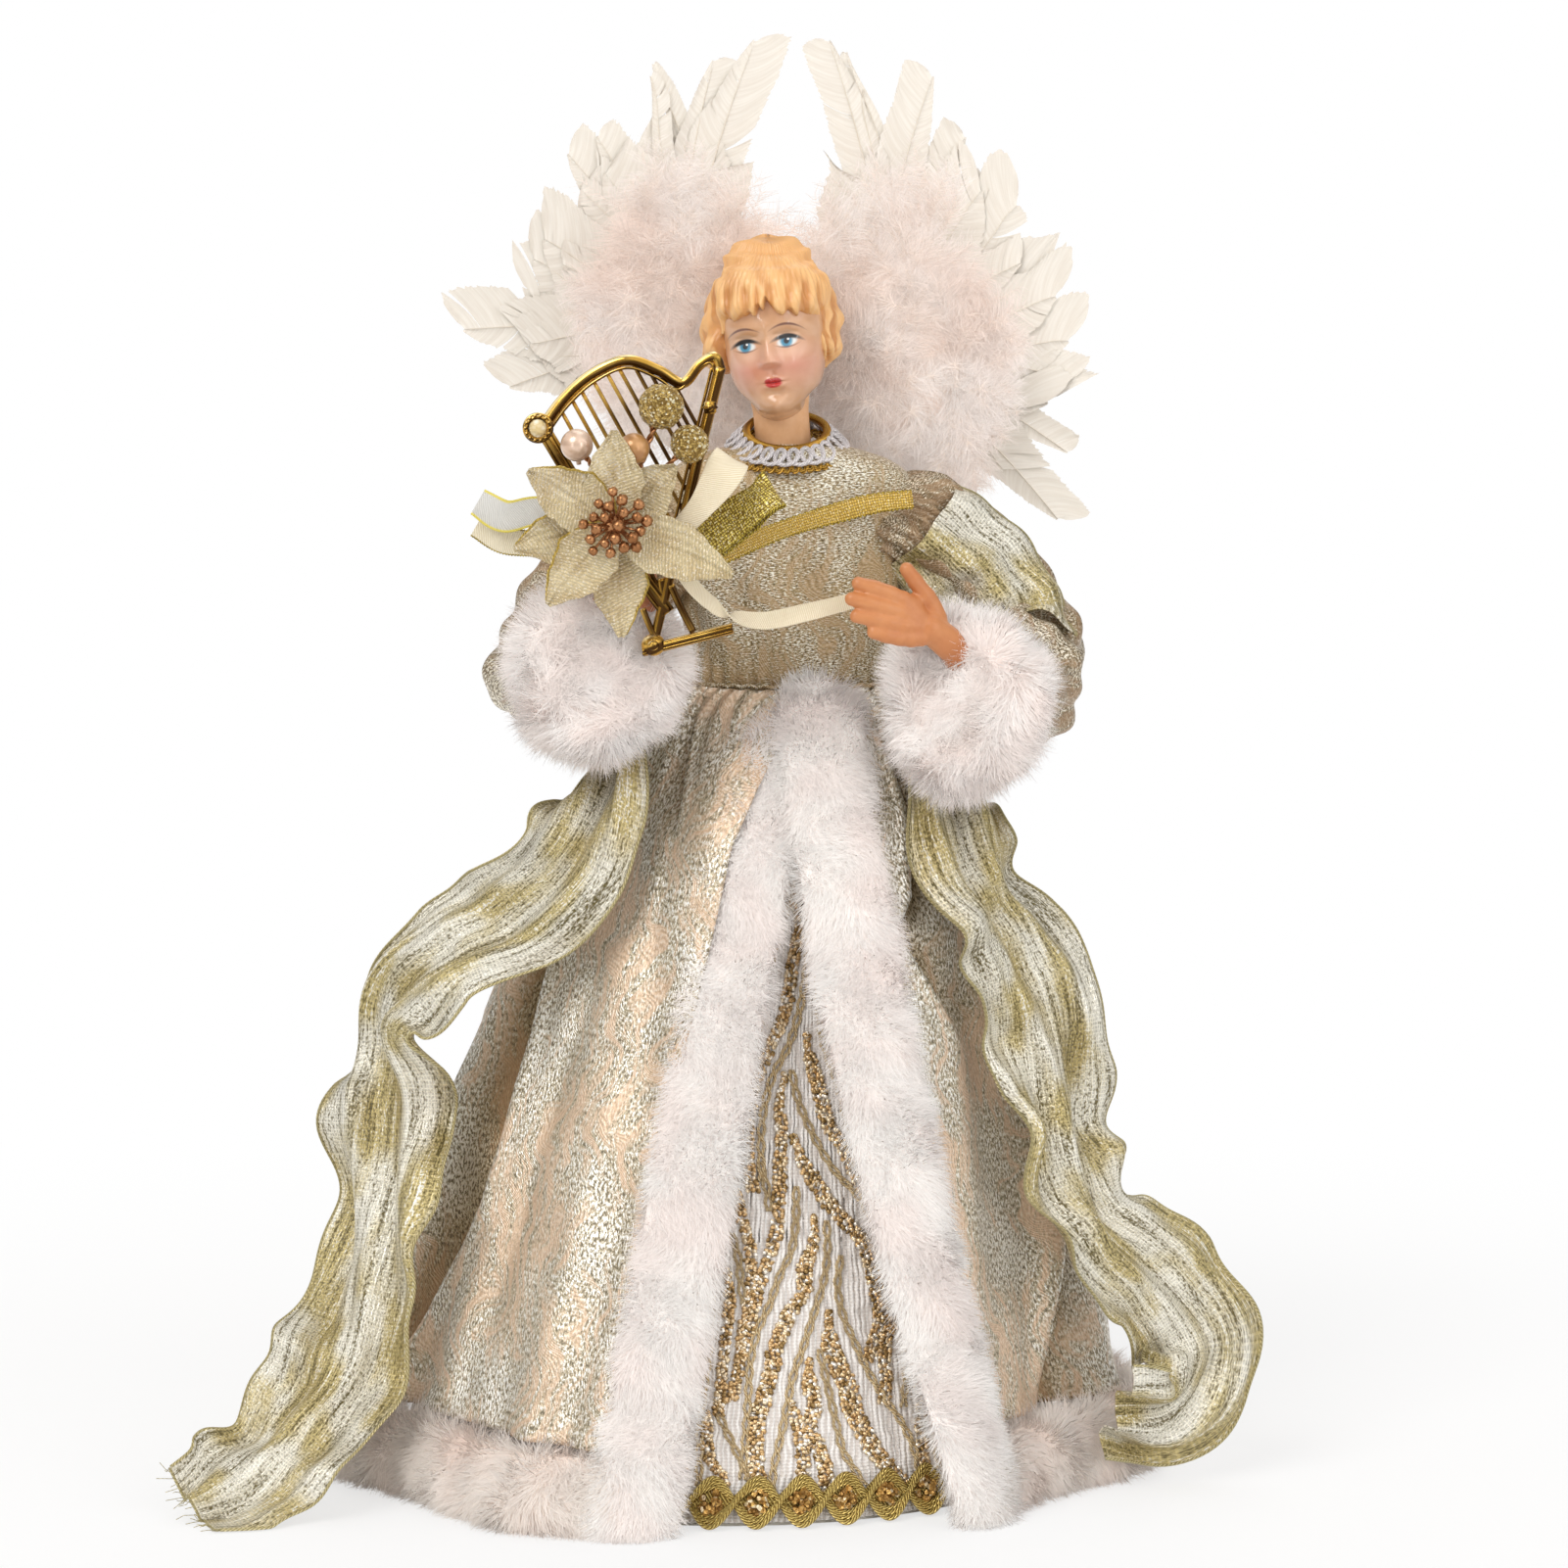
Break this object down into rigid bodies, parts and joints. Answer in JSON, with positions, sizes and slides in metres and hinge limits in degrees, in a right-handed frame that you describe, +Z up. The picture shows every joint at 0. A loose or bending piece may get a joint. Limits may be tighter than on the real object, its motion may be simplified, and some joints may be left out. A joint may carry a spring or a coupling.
{
  "type": "angel tree topper",
  "caption": "Angel doll on an open cone, with brocade coat, fur trims, sheer scarf, feather wings, harp and flower bunch; head, left arm and wings turn.",
  "frame": {"origin": "middle of the cone's mouth, on the surface the topper stands on", "axes": "+Z up along the figure; the figure looks along -Y; its left side is +X"},
  "size_m": [0.2245, 0.1747, 0.3028],
  "materials": {
    "card": "matt white card",
    "foam": "white foam",
    "steel": "soft wire",
    "brocade": "metallic gold and peach brocade",
    "sheer_gold": "sheer crinkled gold fabric",
    "white_fur": "white short-pile fur",
    "sequin_knit": "white knit with gold sequin waves",
    "gold_gimp": "metallic gold gimp braid",
    "white_gimp": "white looped gimp over gold",
    "gold_plated_plastic": "bright gold plating on plastic",
    "clear_jewel": "clear acrylic",
    "petal_cloth": "cream cloth with gold glitter",
    "bronze_plastic": "bronze lacquer",
    "gold_glitter": "coarse gold glitter",
    "gold_pearl": "gold pearl lacquer",
    "pink_pearl": "pale pink pearl lacquer",
    "cream_satin": "satin ribbon",
    "gold_lame": "gold lame ribbon",
    "flesh_plastic": "moulded flesh plastic",
    "painted_head": "painted and varnished",
    "feather": "white vane feathers",
    "down": "white marabou down"
  },
  "bodies": {
    "figure": {"cone_support": "card", "cone_cap": "card", "torso_form": "foam", "neck_pin": "steel", "bodice": "brocade", "collar_braid": "white_gimp", "underskirt_front": "sequin_knit", "hem_braid": "gold_gimp", "coat_right_panel": "brocade", "coat_left_panel": "brocade", "coat_back_panel": "brocade", "left_front_trim": "white_fur", "right_front_trim": "white_fur", "hem_fur_left": "white_fur", "hem_fur_right": "white_fur", "hem_fur_back": "white_fur", "right_sleeve": "brocade", "right_cuff": "white_fur", "right_hand": "flesh_plastic", "right_arm_wire": "steel", "scarf_right_drape": "sheer_gold", "scarf_left_drape": "sheer_gold", "scarf_back": "sheer_gold", "harp": "gold_plated_plastic", "harp_jewel": "clear_jewel", "poinsettia_front_petals": "petal_cloth", "poinsettia_back_petals": "petal_cloth", "stamens": "bronze_plastic", "glitter_berry_upper": "gold_glitter", "glitter_berry_lower": "gold_glitter", "gold_pearl": "gold_pearl", "pink_pearl": "pink_pearl", "berry_stems": "bronze_plastic", "satin_loop": "cream_satin", "gold_loop": "gold_lame", "satin_tail": "cream_satin", "gold_tail": "gold_lame", "ribbon_end_satin": "cream_satin", "ribbon_end_gold": "gold_lame", "wing_holder": "card"},
    "head": {"head": "painted_head"},
    "left_arm": {"left_sleeve": "brocade", "left_cuff": "white_fur", "left_hand": "flesh_plastic", "left_arm_wire": "steel", "scarf_arm_wrap": "sheer_gold"},
    "right_wing": {"right_wing_feathers": "feather", "right_wing_fluff": "down", "right_wing_card": "card", "right_wing_wire": "steel"},
    "left_wing": {"left_wing_feathers": "feather", "left_wing_fluff": "down", "left_wing_card": "card", "left_wing_wire": "steel"}
  },
  "joints": [
    {"name": "head_turn", "type": "hinge", "parent": "figure", "child": "head", "pos_m": [0.0118, 0, 0.215], "axis": [-0.0785, 0, 0.9969], "range_deg": [-20, 20]},
    {"name": "left_arm_swing", "type": "hinge", "parent": "figure", "child": "left_arm", "pos_m": [0.037, 0.001, 0.2], "axis": [0, 0, 1], "range_deg": [0, 25]},
    {"name": "right_wing_fold", "type": "hinge", "parent": "figure", "child": "right_wing", "pos_m": [0.0094, 0.032, 0.23], "axis": [0, 0, -1], "range_deg": [0, 40]},
    {"name": "left_wing_fold", "type": "hinge", "parent": "figure", "child": "left_wing", "pos_m": [0.0146, 0.032, 0.23], "axis": [0, 0, 1], "range_deg": [0, 40]}
  ]
}
